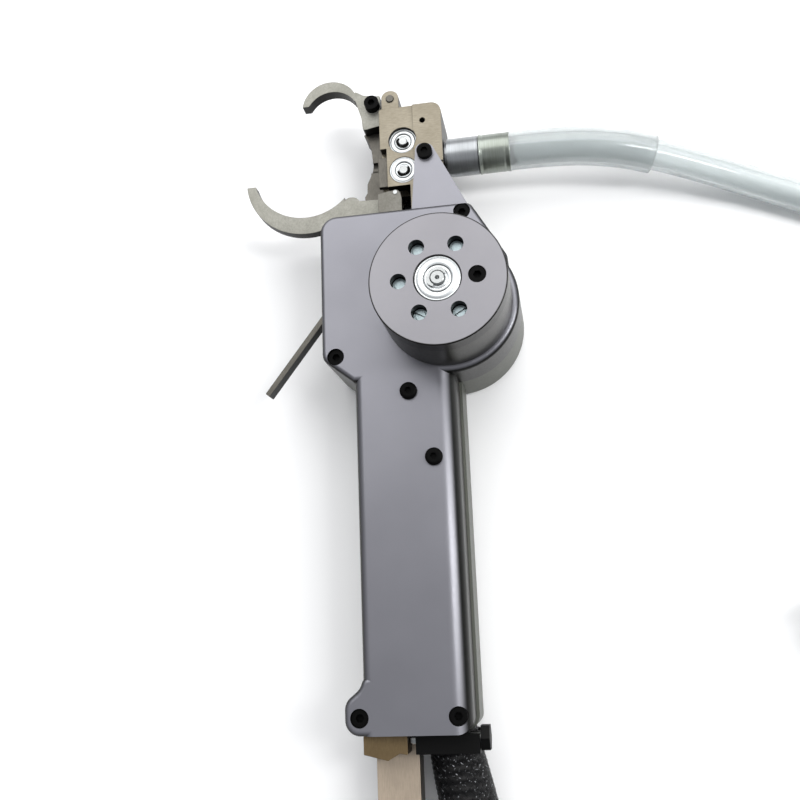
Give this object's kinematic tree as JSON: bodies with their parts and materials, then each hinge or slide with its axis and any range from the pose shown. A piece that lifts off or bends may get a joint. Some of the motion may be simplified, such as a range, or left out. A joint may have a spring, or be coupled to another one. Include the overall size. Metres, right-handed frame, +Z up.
{
  "type": "cable tie gun",
  "caption": "Hand-held automatic cable-tie gun with a fixed and a swinging jaw, trigger lever, round reel drum, clear tie feed hose and braided umbilical.",
  "frame": {"origin": "on the main shaft's axis, at the level of the table that the tool lies on with its back", "axes": "+X to the right of the tool, +Y along it towards the jaws, +Z up out of its front face, along the main shaft"},
  "size_m": [0.4412, 0.6186, 0.0746],
  "materials": {
    "casing": "satin grey metallic coat",
    "drum_wall": "dark satin coat",
    "nickel": "satin nickel",
    "block": "machined, warm nickel plate",
    "steel": "ground",
    "bearing": "polished",
    "black_steel": "black oxide",
    "dark_steel": "hardened, grey",
    "aluminium": "turned",
    "clear_hose": "clear, slightly milky",
    "braid": "black polyester braid",
    "black_plastic": "moulded",
    "board": "green laminate",
    "brass": "turned",
    "chute": "folded sheet"
  },
  "bodies": {
    "housing": {"front_shell": "casing", "back_shell": "casing", "casing_screws": "black_steel", "handle_screws": "black_steel", "drum_ring": "drum_wall", "drum_cover": "casing", "cover_screw": "black_steel", "motor_plate": "aluminium", "drive_motor": "steel", "front_bearing": "bearing", "back_bearing": "bearing", "tension_motor": "steel", "tension_gearhead": "black_steel", "angle_gearbox": "aluminium", "upper_head_bearing": "bearing", "lower_head_bearing": "bearing", "head_block": "block", "head_frame": "black_steel", "tie_guide": "dark_steel", "guide_foot": "nickel", "jaw_bracket": "nickel", "bracket_dowel": "steel", "jaw_pin": "steel", "pivot_post": "black_steel", "upper_jaw": "nickel", "jaw_screw": "black_steel", "link_pin": "dark_steel", "feed_nipple": "aluminium", "feed_hose": "clear_hose", "hose_sleeve": "clear_hose", "hose_coil": "clear_hose", "hose_coupler": "aluminium", "umbilical": "braid", "umbilical_coil": "braid", "umbilical_connector": "black_plastic", "exit_block": "block", "scrap_chute": "chute", "scrap_duct": "chute", "sleeve_clamp": "black_plastic", "clamp_bolt": "steel", "clamp_knob": "black_plastic", "gusset_screw": "black_steel", "trigger_pin": "steel", "trigger_spring": "steel", "micro_switch": "black_plastic", "circuit_board": "board"},
    "rotor": {"main_shaft": "steel", "reel": "aluminium", "push_band": "steel", "drive_gear": "steel"},
    "pinion": {"motor_pinion": "brass"},
    "tension_drive": {"tension_shaft": "steel"},
    "lower_tension": {"lower_tension_gear": "dark_steel", "lower_tension_shaft": "steel"},
    "upper_tension": {"upper_tension_gear": "dark_steel", "upper_tension_shaft": "steel"},
    "jaw": {"lower_jaw": "nickel"},
    "cutter": {"cutter_blade": "dark_steel"},
    "trigger": {"trigger_lever": "dark_steel"},
    "button": {"switch_button": "black_plastic"}
  },
  "joints": [
    {"name": "reel_spin", "type": "hinge", "parent": "housing", "child": "rotor", "pos_m": [0, 0, 0.03], "axis": [0, 0, 1], "continuous": true},
    {"name": "pinion_spin", "type": "hinge", "parent": "housing", "child": "pinion", "pos_m": [-0.03152, 0.01274, 0.0135], "axis": [0, 0, 1], "continuous": true},
    {"name": "lower_tension_spin", "type": "hinge", "parent": "housing", "child": "lower_tension", "pos_m": [-0.0177, 0.0687, 0.02], "axis": [0, 0, 1], "continuous": true},
    {"name": "upper_tension_spin", "type": "hinge", "parent": "housing", "child": "upper_tension", "pos_m": [-0.0177, 0.0837, 0.02], "axis": [0, 0, 1], "continuous": true},
    {"name": "tension_drive_spin", "type": "hinge", "parent": "housing", "child": "tension_drive", "pos_m": [-0.0177, 0, 0.007], "axis": [0, 1, 0], "continuous": true},
    {"name": "jaw_close", "type": "hinge", "parent": "housing", "child": "jaw", "pos_m": [-0.024, 0.0535, 0.0275], "axis": [0, 0, -1], "range_deg": [0, 37.5]},
    {"name": "cutter_stroke", "type": "slide", "parent": "housing", "child": "cutter", "axis": [0, 1, 0], "range_m": [0, 0.003]},
    {"name": "trigger_pull", "type": "hinge", "parent": "housing", "child": "trigger", "pos_m": [-0.048, 0.02, 0.021], "axis": [0, 0, 1], "range_deg": [0, 18], "stiffness_Nm_per_rad": 0.2, "springref_deg": -17.19},
    {"name": "switch_press", "type": "slide", "parent": "housing", "child": "button", "axis": [0, 1, 0], "range_m": [0, 0.0013]}
  ],
  "couplings": [
    {"joint": "pinion_spin", "follows": "reel_spin", "ratio": -2.7778},
    {"joint": "upper_tension_spin", "follows": "lower_tension_spin", "ratio": -1},
    {"joint": "tension_drive_spin", "follows": "lower_tension_spin", "ratio": 1},
    {"joint": "switch_press", "follows": "trigger_pull", "m_per_rad": 0.0038}
  ]
}
